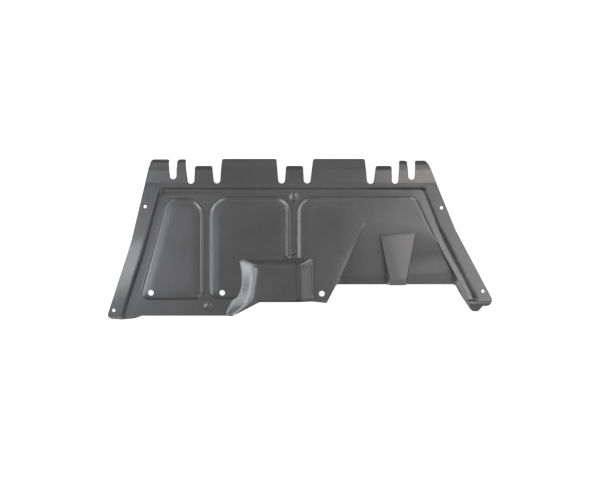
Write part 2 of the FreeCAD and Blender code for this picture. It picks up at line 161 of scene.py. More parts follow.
# Raised panels: outline of the foot, plan width of the wall at the left and the right,
# the x between which one turns into the other, and the shoulder's share at both
panels = {
    "one": {"corners": [(-394.3, -146.6, 20), (-236.7, -146.6, 22), (-236.7, 102.5, 46),
                        (-325.6, 102.5, 30)],
            "leftRun": 4.2, "rightRun": 6.4, "span": (-330.0, -255.0), "soft": (0.8, 1.0)},
    "two": {"corners": [(-221.5, -146.6, 22), (-125.0, -146.6, 0), (-95.0, -62.0, 0),
                        (-23.3, -47.0, 0), (-23.3, 105.5, 38), (-221.5, 105.5, 45)],
            "leftRun": 8.2, "rightRun": 8.6, "span": (-200.0, -60.0), "soft": (1.0, 1.0)},
    "three": {"corners": [(-6.6, -47.0, 0), (12.0, -80.0, 0), (12.0, -260.0, 0), (200.0, -260.0, 0),
                          (200.0, -90.0, 0), (343.5, -18.0, 0), (285.0, 105.5, 24),
                          (-6.6, 105.5, 38)],
              "leftRun": 8.2, "rightRun": 4.4, "span": (60.0, 250.0), "soft": (1.0, 0.0)},
    "wall": 5.0,               # height of the wall itself
    "rightFall": 1.7,          # how much lower the wall gets towards the rail
    "fallZone": (60.0, 330.0),
    "shoulder": 1.2,           # soft crown inside the wall
    "shoulderStart": 0.6,      # share of the wall's run where the shoulder starts
    "shoulderRun": 19.0,
    "foot": 0.15,
    "crown": 1.3,
}

# Raised block at the rear edge
block = {
    "leftFoot": [(-202.0, -188.0), (-167.0, -164.5), (-148.0, -153.0), (-123.0, -141.0), (-92.0, -139.0),
                 (-51.0, -145.5), (206.0, -145.5)],
    "leftCrown": [(-202.0, -176.0), (-165.0, -136.0), (-147.0, -117.5), (-131.0, -117.3),
                  (-91.0, -111.0), (-54.0, -106.5), (206.0, -106.5)],
    "rightCrown": [(-202.0, -4.1), (-132.0, -4.1), (-63.0, -5.6), (206.0, -5.6)],
    "rightFoot": [(-202.0, 31.0), (-135.0, 30.3), (-44.0, 27.5), (206.0, 27.5)],
    "leftSmoothing": 14.0,
    "rightSmoothing": 6.0,
    "rightSwell": 1.12,        # how far the right wall bulges
    "frontFoot": -42.5,
    "frontRun": 20.0,
    "rearRoll": [(-165.5, -186.0), (-98.5, -151.0), (31.0, -151.0), (65.0, -154.5)],
    "rollReach": 6.5,          # the top rolls down this far before the rear edge
    "rollSlope": 0.75,
    "rollRounding": 3.5,
    "crown": 8.0,              # reaches of the roundings
    "rightCrownReach": 4.5,
    "corner": 9.0,
    "foot": 0.5,
    "frontFootExtra": 4.0,
    "frontZone": (-66.0, -50.0),
    "frontLeft": (-122.0, -96.0),
    "frontRight": (-16.0, 8.0),
}

# Duct that falls to the rear edge, its side walls and its splitter wedge
duct = {
    "start": 39.0,
    "fallStart": -10.0,
    "fallReach": 33.0,         # rounding of the bend into the fall
    "sideReach": 9.0,          # how much tighter it gets towards the rail
    "sideZone": (215.0, 345.0),
    "bend": -85.0,
    "bendDepth": 32.0,
    "bendTilt": 0.034,         # the bend runs a little askew, around this x
    "bendMiddle": 245.0,
    "bendRounding": 3.0,
    "rear": -111.5,
    "leftCrown": [(-202.0, 64.0), (-155.0, 64.4), (-108.0, 64.6), (-61.0, 78.0), (-30.0, 93.5),
                  (-4.0, 112.0), (39.0, 140.0), (206.0, 92.0)],
    "leftFoot": [(-202.0, 87.5), (-155.0, 88.1), (-111.5, 89.3), (39.0, 156.5), (206.0, 113.0)],
    "leftSmoothing": 6.0,
    "leftWidth": 6.0,          # least width of the left wall's bend
    "leftEndSlope": 0.13,
    "leftDrop": 26.0,
    "leftClearance": 2.0,
    "rail": [(-202.0, 430.0), (-166.0, 416.5), (-150.0, 411.5), (-128.0, 405.3), (-19.6, 344.6),
             (206.0, 234.6)],
    "rightSlope": 9.0,
    "wallRounding": 0.8,
    "skirtZone": (126.0, 138.0),    # the rail's wall stands alone behind these -y
    "skirtLeft": 330.0,
    "wedgeLeft": [(-202.0, 223.5), (-115.0, 223.5), (17.0, 194.2), (206.0, 150.0)],
    "wedgeRight": [(-202.0, 258.5), (-115.0, 258.5), (17.0, 284.0), (206.0, 205.0)],
    "wedgeRun": 7.5,
    "wedgeHeight": 4.6,
    "wedgeCorner": (282.0, 17.0),   # where the height is measured
    "wedgeFall": 0.012,
    "wedgeLean": 0.048,
    "wedgeFacet": 0.012,            # slope of the left facet, beyond the crease line
    "wedgeCreaseLine": [(-202.0, 262.0), (-61.0, 238.0), (12.0, 221.0), (206.0, 180.0)],
    "wedgeFront": 16.8,
    "wedgeFrontSlant": 0.062,
    "wedgeFrontSlope": 4.0,
    "wedgeCrease": -98.0,
    "wedgeLipSlope": 0.55,
}

# Front tabs, rear lips and the closed end of the rail
edges = {
    "crease": 137.0, "creaseSlope": 24.0, "creaseReach": 5.0,
    "bend": 173.0, "bendSlope": 42.0, "bendReach": 6.0,
    "curl": 195.0, "curlSlope": 68.0, "curlReach": 4.0,
    "curled": [(-400.0, -282.0), (-265.0, -212.0), (184.0, 350.0)],
    "rightStep": -150.0, "stepDrop": 1.2, "stepRun": 1.4, "ledgeSlope": 0.5,
    "rightLip": -155.3, "leftLip": -186.0, "rightLipSlope": 14.0, "leftLipSlope": 60.0,
    "lipSide": (250.0, 255.0),
    "flangeFall": 0.10,             # fall of the left flange, and where it starts and ends
    "fallZone": (-18.0, 24.0),
    "flangeLevelling": 1.2,
    "levelZone": (35.0, 175.0),
    "flangeRise": 0.02,
    "railLean": 0.03,
}

# Small domes in the grooves: x, y, radius, height
domes = [(-14.5, 104.5, 11.5, 4.6), (-225.0, -163.0, 9.5, 4.0), (-15.0, -31.0, 6.0, 3.5)]
domeTop = 0.55             # share of the radius that the level top takes

panelOutlines = {name: roundOutline(panels[name]["corners"]) for name in ("one", "two", "three")}
dishOutline = roundOutline(dish["corners"])


# Height of the rim: level, falling in two bends and a curl to the tabs' tips, and over
# a fold to the rear lips. Each bend adds its slope x the distance beyond the bend.
def rimTop(x, y):
    curlMask = np.zeros(x.shape)
    for low, high in edges["curled"]:
        curlMask = np.maximum(curlMask, fade(x, low - 3.0, low) * (1.0 - fade(x, high, high + 3.0)))
    first, second, third = (math.tan(math.radians(edges[k]))
                            for k in ("creaseSlope", "bendSlope", "curlSlope"))
    z = shield["rimHeight"] - first * softHigh(y - edges["crease"], 0.0, edges["creaseReach"])
    z = z - (second - first) * softHigh(y - edges["bend"], 0.0, edges["bendReach"])
    z = z - (third - second) * curlMask * softHigh(y - edges["curl"], 0.0, edges["curlReach"])
    levelling = edges["flangeLevelling"] * fade(-y, *edges["levelZone"])
    falling = fade(-y, *edges["fallZone"]) * (1.0 - levelling)
    z = z + edges["flangeRise"] * np.maximum(x - guide("rightStep", y) - 8.0, 0.0)
    beyond = np.maximum(guide("leftStep", y) - 10.0 - x, 0.0)
    z = z - edges["flangeFall"] * beyond * falling
    lip = np.where(x > 0.0, edges["rightLip"], edges["leftLip"])
    side = fade(np.abs(x), *edges["lipSide"])
    slope = np.where(x > 0.0, edges["rightLipSlope"], edges["leftLipSlope"])
    z = z - side * np.tan(np.radians(slope)) * softHigh(lip - y, 0.0, 1.0)
    past = edges["rightStep"] - y
    step = edges["stepDrop"] * fade(past, 0.0, edges["stepRun"])
    ledge = math.tan(math.radians(edges["ledgeSlope"])) * np.maximum(past - edges["stepRun"], 0.0)
    return z - np.where(x > 0.0, side, 0.0) * (step + ledge)


# Height of the panels' walls, which get lower towards the rail.
def wallHeight(x):
    return panels["wall"] - panels["rightFall"] * fade(x, *panels["fallZone"])


# A panel's left value turning into its right one.
def acrossPanel(x, piece, left, right):
    return left + (right - left) * fade(x, *piece["span"])


# Height of a raised panel: a short wall and a soft shoulder, both by the distance from
# the panel's foot.
def panelTop(x, y, name):
    piece = panels[name]
    inside = insideOf(x, y, panelOutlines[name])
    run = acrossPanel(x, piece, piece["leftRun"], piece["rightRun"])
    wall = wallRise(inside, run, wallHeight(x), panels["foot"], panels["crown"])
    shoulder = panels["shoulder"] * acrossPanel(x, piece, *piece["soft"])
    return wall + shoulder * fade(inside, panels["shoulderStart"] * run, run + panels["shoulderRun"])


# Height of the raised block: the lowest of its flat top and its four sides. The left and
# front sides rise evenly, and the right one bulges by 1 - (1 - share) ^ swell.
def blockTop(x, y):
    height = shield["blockHeight"]
    low, rise = shield["panelHeight"], height - shield["panelHeight"]
    footLeft, crownLeft = (lineAt(y, block[k], block["leftSmoothing"]) for k in ("leftFoot", "leftCrown"))
    footRight, crownRight = (lineAt(y, block[k], block["rightSmoothing"])
                             for k in ("rightFoot", "rightCrown"))
    left = low + (x - footLeft) * rise / (crownLeft - footLeft)
    share = (footRight - x) / (footRight - crownRight)
    bulge = 1.0 - (1.0 - np.clip(share, 0.0, 1.0)) ** block["rightSwell"]
    beyond = block["rightSwell"] * np.minimum(share, 0.0) + np.maximum(share - 1.0, 0.0)
    right = low + rise * (bulge + beyond)
    front = (block["frontFoot"] - y) * height / block["frontRun"]
    sides = softLow(left, front, block["corner"])
    xs, ys = zip(*block["rearRoll"])
    roll = softHigh(np.interp(x, xs, ys) + block["rollReach"] - y, 0.0, block["rollRounding"])
    top = softLow(softLow(sides, height, block["crown"]), right, block["rightCrownReach"])
    return top - block["rollSlope"] * roll


# Height of the duct's floor: two even slopes that meet at the bend.
def ductFloor(x, y):
    first = (shield["panelHeight"] + duct["bendDepth"]) / (duct["fallStart"] - duct["bend"])
    second = (shield["ductDepth"] - duct["bendDepth"]) / (duct["bend"] - duct["rear"])
    bend = duct["bend"] + duct["bendTilt"] * (x - duct["bendMiddle"])
    floor = shield["panelHeight"] + first * (y - duct["fallStart"])
    floor = floor - (second - first) * softHigh(bend - y, 0.0, duct["bendRounding"])
    return np.maximum(floor, -shield["ductDepth"])


# The panel's level, rolling over softly into the duct's floor.
def sunkFloor(x, y):
    third = panels["three"]
    level = wallHeight(x) + panels["shoulder"] * acrossPanel(x, third, *third["soft"])
    reach = duct["fallReach"] - duct["sideReach"] * fade(x, *duct["sideZone"])
    return softLow(level, ductFloor(x, y), reach)


# Left wall: bends down from its crown, by half the end slope x the distance squared over
# the wall's width, and ends in a steep drop at its foot.
def leftWall(x, y):
    crown, foot = lineAt(y, duct["leftCrown"], duct["leftSmoothing"]), lineAt(y, duct["leftFoot"])
    past = np.maximum(x - crown, 0.0)
    width = np.maximum(foot - crown, duct["leftWidth"])
    wall = shield["panelHeight"] - 0.5 * duct["leftEndSlope"] * past * past / width
    wall = wall - duct["leftDrop"] * np.maximum(x - foot, 0.0)
    return wall + np.maximum(crown - x - duct["leftClearance"], 0.0)


# Right wall: a steep even slope under the rail.
def railWall(x, y):
    return (x - lineAt(y, duct["rail"])) * duct["rightSlope"]


# Height of the splitter wedge: nearly level, with a crease across its top, steep sides and
# a lip at its rear end.
def wedgeTop(x, y):
    slope = shield["ductDepth"] / duct["wedgeRun"]
    left = (x - lineAt(y, duct["wedgeLeft"])) * slope
    right = (lineAt(y, duct["wedgeRight"]) - x) * slope
    crease = lineAt(y, duct["wedgeCreaseLine"])
    cornerX, cornerY = duct["wedgeCorner"]
    leaning = duct["wedgeLean"] * (cornerX - x)
    facet = duct["wedgeLean"] * (cornerX - crease) + duct["wedgeFacet"] * (crease - x)
    level = duct["wedgeHeight"] + softLow(leaning, facet, 0.2) - duct["wedgeFall"] * (cornerY - y)
    front = duct["wedgeFront"] - duct["wedgeFrontSlant"] * (cornerX - x)
    level = level - duct["wedgeFrontSlope"] * np.maximum(y - front, 0.0)
    level = level - duct["wedgeLipSlope"] * softHigh(duct["wedgeCrease"] - y, 0.0, 2.0)
    return softLow(softLow(left, right, 1.0), level, 1.2)


# The base between the raised forms: domes, the rise before the front step and the lean of
# the rail.
def baseTop(x, y):
    base = np.zeros(x.shape)
    for px, py, radius, height in domes:
        away = np.hypot(x - px, y - py)
        base = base + height * fade(-away, -radius, -domeTop * radius)
    rampSide = 1.0 - fade(x, *dish["rampFade"])
    base = base + dish["rampHeight"] * rampSide * fade(y, dish["rampStart"], dish["rampEnd"])
    return base - edges["railLean"] * np.maximum(x - lineAt(y, duct["rail"]), 0.0)


# Height of the whole upper face: base, panels and block, then the duct cut into them, the
# wedge, and the step up to the rim. Behind the duct the rail's wall hangs as a skirt.
def upperFace(x, y):
    raised = sum(panelTop(x, y, name) for name in panelOutlines)
    middle = fade(x, *block["frontLeft"]) * (1.0 - fade(x, *block["frontRight"]))
    footReach = block["foot"] + block["frontFootExtra"] * fade(y, *block["frontZone"]) * middle
    base = softHigh(baseTop(x, y) + raised, blockTop(x, y), footReach)
    sunk = np.minimum(sunkFloor(x, y), base)
    walls = np.maximum(leftWall(x, y), railWall(x, y))
    base = np.maximum(sunk, softLow(base, walls, duct["wallRounding"]))
    base = softHigh(base, wedgeTop(x, y), duct["wallRounding"])
    outside = -insideOf(x, y, dishOutline)
    atFront = fade(y, *dish["frontBand"])
    run = shield["frontStep"] + (shield["sideStep"] - shield["frontStep"]) * (1.0 - atFront)
    crown = dish["sideCrown"] + dish["frontCrown"] * atFront
    share = wallRise(outside, run, 1.0, dish["stepFoot"], crown)
    z = base + (rimTop(x, y) - base) * share
    wall = softLow(z, np.maximum(railWall(x, y), -shield["ductDepth"]), 1.0)
    return z + (wall - z) * fade(-y, *duct["skirtZone"]) * (x > duct["skirtLeft"])


ballRings = ((0.5, 6), (0.8, 8), (0.97, 10))    # share of the ball's radius, and places


# Height of the lower face: a ball as large as the sheet is thick touches the upper face
# from below, so the face is the lowest of the ball's places around each point.
def lowerFace(x, y):
    thickness = shield["thickness"]
    lowest = upperFace(x, y) - thickness
    for share, count in ballRings:
        reach = share * thickness
        drop = math.sqrt(thickness ** 2 - reach ** 2)
        for k in range(count):
            angle = 2.0 * math.pi * k / count
            moved = upperFace(x + reach * math.cos(angle), y + reach * math.sin(angle))
            lowest = np.minimum(lowest, moved - drop)
    return lowest


# Rows of the grid: from each y down to the next, with the given spacing.
rowPlan = [
    (206.0, 2.4), (188.0, 2.6), (178.0, 1.6), (168.0, 3.4), (141.0, 1.6), (133.0, 1.8),
    (129.4, 1.0), (121.4, 2.4), (107.0, 1.2), (97.0, 2.4), (57.0, 4.0), (43.0, 1.6),
    (35.0, 3.0), (20.0, 1.6), (14.0, 4.0), (-26.0, 2.2), (-40.0, 1.6), (-68.0, 3.2),
    (-80.0, 1.4), (-90.0, 2.4), (-96.0, 1.2), (-101.0, 2.4), (-110.0, 1.5), (-114.0, 3.0),
    (-126.0, 2.0), (-142.0, 0.9), (-158.0, 1.6), (-198.0, 2.0), (-202.0, 1.0),
]

# Columns of the grid: guide line, sideways offset, cells up to the next line
columnPlan = [
    ("leftEdge", 0.0, 8), ("leftStep", -10.6, 7), ("leftStep", 0.6, 6), ("panelOneLeft", -0.6, 5),
    ("panelOneLeft", 5.4, 22), ("panelOneRight", -9.0, 7), ("panelOneRight", 0.6, 5),
    ("panelTwoLeft", -0.6, 7), ("panelTwoLeft", 9.0, 16), ("blockLeftFoot", -1.0, 12),
    ("blockLeftCrown", 2.0, 14), ("panelTwoRight", -8.6, 6), ("panelTwoRight", 0.6, 6),
    ("panelThreeLeft", -0.6, 7), ("panelThreeLeft", 9.0, 18), ("blockRightFoot", 1.0, 16),
    ("ductLeftCrown", -3.0, 5), ("ductLeftCrown", 1.0, 7), ("ductLeftFoot", -1.5, 2),
    ("ductLeftFoot", 0.2, 14), ("wedgeLeftFoot", 0.0, 4), ("wedgeLeft", 0.0, 2),
    ("wedgeLeft", 2.6, 9), ("wedgeRight", -2.6, 2),
    ("wedgeRight", 0.0, 4), ("wedgeRightFoot", 0.0, 14), ("rail", -4.2, 4), ("rail", 0.0, 3),
    ("rail", 2.8, 6), ("rightStep", -0.6, 7), ("rightStep", 10.6, 8), ("rightEdge", 0.0, 0),
]
crowding = 0.28            # how much wide groups of columns crowd towards their ends
wideGroup = 9


# x of a named guide line at each y.
def guide(name, y):
    depth = np.clip((duct["start"] - y) / (duct["start"] - duct["rear"]), 0.0, 1.0)
    lines = {
        "leftEdge": [(-202.0, -483.0), (0.0, -418.5), (137.0, -386.0), (206.0, -371.0)],
        "leftStep": [(-202.0, -436.8), (-40.0, -384.0), (123.5, -340.5), (206.0, -318.0)],
        "panelOneLeft": [(-202.0, -409.6), (206.0, -297.0)],
        "panelOneRight": [(-202.0, -236.7), (206.0, -236.7)],
        "panelTwoLeft": [(-202.0, -221.5), (206.0, -221.5)],
        "blockLeftFoot": block["leftFoot"],
        "blockLeftCrown": block["leftCrown"],
        "panelTwoRight": [(-202.0, -23.3), (206.0, -23.3)],
        "panelThreeLeft": [(-202.0, -6.6), (206.0, -6.6)],
        "blockRightFoot": block["rightFoot"],
        "ductLeftCrown": duct["leftCrown"],
        "wedgeLeft": duct["wedgeLeft"],
        "wedgeRight": duct["wedgeRight"],
        "rail": duct["rail"],
        "rightStep": [(-202.0, 453.8), (26.0, 340.5), (123.5, 302.0), (206.0, 268.8)],
        "rightEdge": [(-202.0, 506.0), (24.5, 387.5), (132.0, 343.5), (206.0, 316.0)],
    }
    if name == "ductLeftFoot":
        return lineAt(y, duct["leftFoot"]) + 1.5
    if name == "wedgeLeftFoot":
        return lineAt(y, lines["wedgeLeft"]) - 0.8 - duct["wedgeRun"] * depth
    if name == "wedgeRightFoot":
        return lineAt(y, lines["wedgeRight"]) + 0.8 + duct["wedgeRun"] * depth
    return lineAt(y, lines[name])


# Grid of x and y: rows are level, columns run between the guide lines.
def sheetGrid():
    rows = []
    for (top, step), (bottom, _) in zip(rowPlan, rowPlan[1:]):
        cells = max(1, round((top - bottom) / step))
        rows.append(np.linspace(top, bottom, cells, endpoint=False))
    y = np.concatenate(rows + [np.array([rowPlan[-1][0]])])
    columns = []
    for (name, offset, cells), (nextName, nextOffset, _) in zip(columnPlan, columnPlan[1:]):
        start = guide(name, y) + offset
        end = guide(nextName, y) + nextOffset
        share = np.linspace(0.0, 1.0, cells, endpoint=False)
        share = share + crowding * (share - 0.5) * 4.0 * share * (1.0 - share) * (cells > wideGroup)
        columns.append(start[:, None] + (end - start)[:, None] * share[None, :])
    name, offset, _ = columnPlan[-1]
    columns.append((guide(name, y) + offset)[:, None])
    x = np.concatenate(columns, axis=1)
    return x, np.repeat(y[:, None], x.shape[1], axis=1)


# A mesh object from points in millimetres and faces.
def meshObject(name, points, faces):
    mesh = bpy.data.meshes.new(name)
    placed = (np.asarray(points, float) + (shiftX, shiftY, shiftZ)) * millimetre
    mesh.from_pydata(placed.tolist(), [], faces)
    mesh.update()
    thing = bpy.data.objects.new(name, mesh)
    bpy.context.scene.collection.objects.link(thing)
    return thing


# Upper and lower grid joined along their border into one closed skin.
def closedSheet():
    x, y = sheetGrid()
    upper, lower = upperFace(x, y), lowerFace(x, y)
    rows, columns = x.shape
    print("sheet grid", rows, "x", columns)
    points = np.concatenate([np.stack([x, y, upper], -1).reshape(-1, 3),
                             np.stack([x, y, lower], -1).reshape(-1, 3)])
    index = np.arange(rows * columns).reshape(rows, columns)
    a, b, c, d = index[:-1, :-1], index[1:, :-1], index[1:, 1:], index[:-1, 1:]
    top = np.stack([a, b, c, d], -1).reshape(-1, 4)
    bottom = np.stack([d, c, b, a], -1).reshape(-1, 4) + rows * columns
    border = np.concatenate([index[0, :-1], index[:-1, -1], index[-1, :0:-1], index[:0:-1, 0]])
    following = np.roll(border, -1)
    side = np.stack([border, following, following + rows * columns, border + rows * columns], -1)
    faces = np.concatenate([top, bottom, side])
    return meshObject("sheet_skin", points, faces.tolist())


# Prism over an outline, from a low to a high level.
def prism(name, outline, low, high):
    outline = np.asarray(outline)
    following = np.roll(outline, -1, axis=0)
    area = 0.5 * (outline[:, 0] * following[:, 1] - outline[:, 1] * following[:, 0]).sum()
    if area < 0:
        outline = outline[::-1]
    count = len(outline)
    points = np.concatenate([np.column_stack([outline, np.full(count, low)]),
                             np.column_stack([outline, np.full(count, high)])])
    index = np.arange(count)
    following = np.roll(index, -1)
    side = np.stack([index, following, following + count, index + count], -1).tolist()
    return meshObject(name, points, side + [index[::-1].tolist(), (index + count).tolist()])


# Trimmed outline of the sheet, clockwise from the left side, as (x, y, corner radius)
tabTips = [(-370.0, -328.0, 202.5), (-305.6, -286.0, 202.5), (-259.5, -217.0, 183.5),
           (-194.5, -58.5, 202.5), (-34.5, 7.5, 183.5), (32.5, 161.5, 202.5),
           (187.5, 226.5, 183.5), (247.0, 266.0, 198.5), (286.5, 311.5, 198.5)]
slotFloors = [(-310.2, 149.0), (-266.0, 137.5), (-202.6, 138.5), (-44.8, 138.5), (17.3, 138.5),
              (172.0, 137.5), (232.0, 137.5), (273.2, 148.0)]
trim = {
    "slotHalf": 7.5,
    "slotRadius": 8.0,
    "tipRadius": 5.5,
    "left": [(-469.5, -181.0, 0), (-411.5, 0.0, 60), (-379.0, 137.0, 0)],
    "rest": [(318.8, 187.5, 4), (336.0, 132.0, 0), (380.0, 24.5, 60), (469.5, -144.0, 14),
             (467.0, -161.5, 13), (447.5, -161.5, 3), (436.0, -175.5, 8), (421.5, -174.5, 9),
             (417.0, -165.5, 3), (405.5, -140.5, 0), (391.5, -114.5, 3), (385.0, -111.5, 3),
             (88.0, -111.5, 0), (65.0, -154.5, 0), (31.0, -151.0, 20), (-98.5, -151.0, 12),
             (-165.5, -186.0, 8), (-388.0, -186.0, 12),
             (-405.0, -192.5, 6), (-441.0, -196.0, 8), (-468.5, -194.0, 9)],
    "fixingHole": 6.85,
    "fixingHoles": [(-365.0, -129.3), (-190.5, -129.3), (53.5, -131.4)],
    "flangeHole": 4.0,
    "flangeHoles": [(-378.5, 81.6), (-455.0, -172.0), (345.8, 78.7), (447.0, -125.0)],
    "holeSteps": 40,
    "sharpAngle": 38.0,        # edges sharper than this aren't smoothed, in degrees
}


def trimOutline():
    corners = list(trim["left"])
    for i, (left, right, tip) in enumerate(tabTips):
        corners += [(left, tip, trim["tipRadius"]), (right, tip, trim["tipRadius"])]
        if i < len(slotFloors):
            middle, floor = slotFloors[i]
            corners += [(middle - trim["slotHalf"], floor, trim["slotRadius"]),
                        (middle + trim["slotHalf"], floor, trim["slotRadius"])]
    return roundOutline(corners + trim["rest"], 10)


# Cut with another closed shape, or keep what lies in it,
# and leave the result as the piece's own mesh.
def carve(piece, tool, operation):
    modifier = piece.modifiers.new("carve", "BOOLEAN")
    modifier.operation = operation
    modifier.object = tool
    modifier.solver = "MANIFOLD"
    bpy.context.view_layer.update()
    result = bpy.data.meshes.new_from_object(piece.evaluated_get(bpy.context.evaluated_depsgraph_get()))
    piece.modifiers.clear()
    old = piece.data
    piece.data = result
    bpy.data.meshes.remove(old)
    bpy.data.objects.remove(tool)


# Painted shade zones: 1 where the most shade is painted, as a dark finish without sheen. The tips
# of the front tabs get painted shade, most where they are narrow. The trimmed border, the skirt, the
# panels' side walls and feet, the block's right crown and the closed end of the rail get a little painted
# shade too, which dims their highlights.
paintedShadeZones = {
    "border": 2.2, "borderShare": 0.45,
    "skirt": 0.20, "skirtZone": (108.0, 114.0),
    "foot": 0.6, "footWidth": (0.6, 2.2),
    "wallEnds": (-150.0, -120.0, 62.0, 88.0),
    "walls": [("two", -226.0, -200.0, 0.55), ("two", -40.0, -18.0, 0.38), ("three", -10.0, 12.0, 0.38)],
    "blockCrown": 0.85, "crownZone": (-9.0, -3.0, 4.0, 13.0), "crownStart": (52.0, 60.0),
    "rearLip": 0.45, "rearStep": 0.85, "rearZone": (405.0, -140.0),
    "slope": 0.36, "slopeZone": (-285.0, -255.0, 160.0, 190.0), "slopeStart": (130.0, 138.0),
    "narrow": 60.0, "narrowTip": 1.0, "tipBand": 11.0, "tipEdge": 1.5,
    "wideTip": 0.7, "wideBand": 6.0, "wideSlope": 0.5,
}


# 1 between the two middle values, fading to 0 at the outer ones.
def zone(value, low, first, last, high):
    return fade(value, low, first) * (1.0 - fade(value, last, high))


# Painted shade along the feet of the panels' free sides and of the block's right wall, which dims the
# highlight lines there.
def paintedShadeFeet(x, y):
    beside = (y < -62.0) & (y > -135.0)
    away = np.where(beside, np.abs(x - lineAt(y, block["rightFoot"]) - 0.5), 9.0)
    clear = ((x < -165.0) | (y > -38.0)) & ((x < 150.0) | (y > -16.0)) & (y > -132.0)
    for name in panelOutlines:
        fromFoot = np.abs(insideOf(x, y, panelOutlines[name]) + 0.5)
        away = np.minimum(away, np.where(clear, fromFoot, 9.0))
    return paintedShadeZones["foot"] * (1.0 - fade(away, *paintedShadeZones["footWidth"]))


# Painted shade on the panels' side walls, dimming them.
def paintedShadeWalls(x, y):
    dull = np.zeros(x.shape)
    straight = zone(y, *paintedShadeZones["wallEnds"])
    for name, left, right, share in paintedShadeZones["walls"]:
        inside = insideOf(x, y, panelOutlines[name])
        wall = zone(inside, -1.0, 0.5, 9.0, 14.0) * (x > left) * (x < right)
        dull = np.maximum(dull, share * wall * straight)
    return dull


# Painted shade on the closed end of the rail: its lip darkened, and a painted shadow line along its step.
def paintedShadeRear(x, y):
    left, front = paintedShadeZones["rearZone"]
    here = (x > left) & (y < front)
    lip = paintedShadeZones["rearLip"] * fade(edges["rightLip"] - y, -0.5, 1.0)
    stepShadowLine = paintedShadeZones["rearStep"] * fade(0.9 - np.abs(y - edges["rightStep"] + 0.7), 0.0, 0.5)
    return here * np.maximum(lip, stepShadowLine)


# Painted shade on the front tabs' tips and wide slopes, laid over what is there.
def paintedShadeTips(x, y, dull):
    for left, right, tip in tabTips:
        here = (x > left - 12.0) & (x < right + 12.0)
        narrow = right - left < paintedShadeZones["narrow"]
        share = paintedShadeZones["narrowTip"] if narrow else paintedShadeZones["wideTip"]
        start = tip - (paintedShadeZones["tipBand"] if narrow else paintedShadeZones["wideBand"])
        tipShadeShare = share * fade(y, start - 1.0, start + paintedShadeZones["tipEdge"])
        slope = paintedShadeZones["wideSlope"] * fade(y, edges["bend"] - 4.0, edges["bend"] + 4.0) * (not narrow)
        dull = np.where(here, np.maximum(dull, np.maximum(slope, tipShadeShare)), dull)
    return dull


# The strongest painted shade at each vertex, kept as the mesh's own attribute.
def markPaintedShade(mesh):
    places = np.empty(3 * len(mesh.vertices))
    mesh.vertices.foreach_get("co", places)
    places = places.reshape(-1, 3) / millimetre - (shiftX, shiftY, shiftZ)
    x, y = places[:, 0], places[:, 1]
    fromBorder = insideOf(x, y, trimOutline())
    fromRail = lineAt(y, duct["rail"]) - x
    fromCrown = x - lineAt(y, block["rightCrown"])
    shadeZones = [
        paintedShadeZones["borderShare"] * (1.0 - fade(fromBorder, 0.0, paintedShadeZones["border"])),
        paintedShadeZones["skirt"] * fade(-y, *paintedShadeZones["skirtZone"]) * (x > duct["skirtLeft"])
        * fade(fromRail, -1.0, 0.5),
        paintedShadeFeet(x, y),
        paintedShadeWalls(x, y),
        paintedShadeZones["blockCrown"] * zone(fromCrown, *paintedShadeZones["crownZone"])
        * fade(-y, *paintedShadeZones["crownStart"]),
        paintedShadeRear(x, y),
        paintedShadeZones["slope"] * zone(x, *paintedShadeZones["slopeZone"]) * fade(y, *paintedShadeZones["slopeStart"]),
    ]
    dull = paintedShadeTips(x, y, np.max(shadeZones, axis=0))
    # Painted shade, kept as a point attribute that lays a dark finish without sheen over the plastic.
    mesh.attributes.new("dull", "FLOAT", "POINT").data.foreach_set("value", dull)


def makeShield():
    piece = closedSheet()
    carve(piece, prism("trim_tool", trimOutline(), -120.0, 80.0), "INTERSECT")
    angles = np.linspace(0.0, 2.0 * math.pi, trim["holeSteps"], endpoint=False)
    circle = np.stack([np.cos(angles), np.sin(angles)], -1)
    holes = [(trim["fixingHole"], place) for place in trim["fixingHoles"]]
    holes += [(trim["flangeHole"], place) for place in trim["flangeHoles"]]
    for radius, place in holes:
        carve(piece, prism("hole_tool", circle * radius + place, -60.0, 60.0), "DIFFERENCE")
    piece.name = "shield_sheet"
    piece.data.name = "shield_sheet"
    markPaintedShade(piece.data)
    print("shield faces", len(piece.data.polygons), "points", len(piece.data.vertices))
    piece.data.shade_smooth()
    piece.data.set_sharp_from_angle(angle=math.radians(trim["sharpAngle"]))
    return piece


# One shader socket; expressions on it add the Math nodes that they need.
class Value:
    def __init__(self, graph, socket):
        self.graph, self.socket = graph, socket

    def combine(self, operation, first, second):
        return self.graph.add("ShaderNodeMath", {"operation": operation}, {0: first, 1: second})

    def __add__(self, other):
        return self.combine("ADD", self, other)

    def __radd__(self, other):
        return self.combine("ADD", other, self)

    def __sub__(self, other):
        return self.combine("SUBTRACT", self, other)

    def __rsub__(self, other):
        return self.combine("SUBTRACT", other, self)

    def __mul__(self, other):
        return self.combine("MULTIPLY", self, other)

    def __rmul__(self, other):
        return self.combine("MULTIPLY", other, self)


